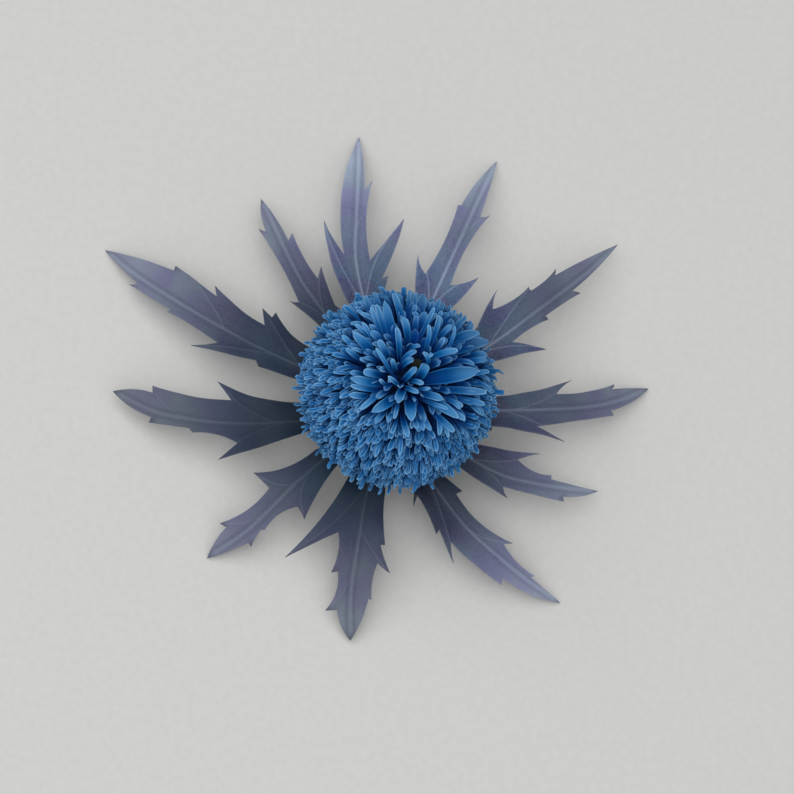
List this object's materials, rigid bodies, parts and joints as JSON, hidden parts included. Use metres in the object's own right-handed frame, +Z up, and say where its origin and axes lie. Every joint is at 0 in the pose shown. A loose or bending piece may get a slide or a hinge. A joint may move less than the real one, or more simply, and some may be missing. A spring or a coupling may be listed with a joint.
{
  "type": "globe flower head",
  "caption": "Cut blue globe-shaped flower head with a spiny collar of slate-coloured bracts, lying face up on its cut stub and bract tips.",
  "frame": {"origin": "centre of the flat cut face of the stub, on the surface that the head rests on", "axes": "+Z up along the flower's axis, from the cut face to the eye; +X roughly towards bract_04"},
  "size_m": [0.0845, 0.0809, 0.0337],
  "materials": {
    "floret_blue": "soft matt petals with paler rims",
    "bract_slate": "matt, smooth, pale midrib",
    "stem_green": "matt, finely ribbed",
    "eye_olive": "matt, granular"
  },
  "bodies": {
    "root": {"receptacle": "stem_green", "flower_head": "floret_blue", "eye": "eye_olive", "bract_01": "bract_slate", "bract_02": "bract_slate", "bract_03": "bract_slate", "bract_04": "bract_slate", "bract_05": "bract_slate", "bract_06": "bract_slate", "bract_07": "bract_slate", "bract_08": "bract_slate", "bract_09": "bract_slate", "bract_10": "bract_slate", "bract_11": "bract_slate"}
  },
  "joints": []
}
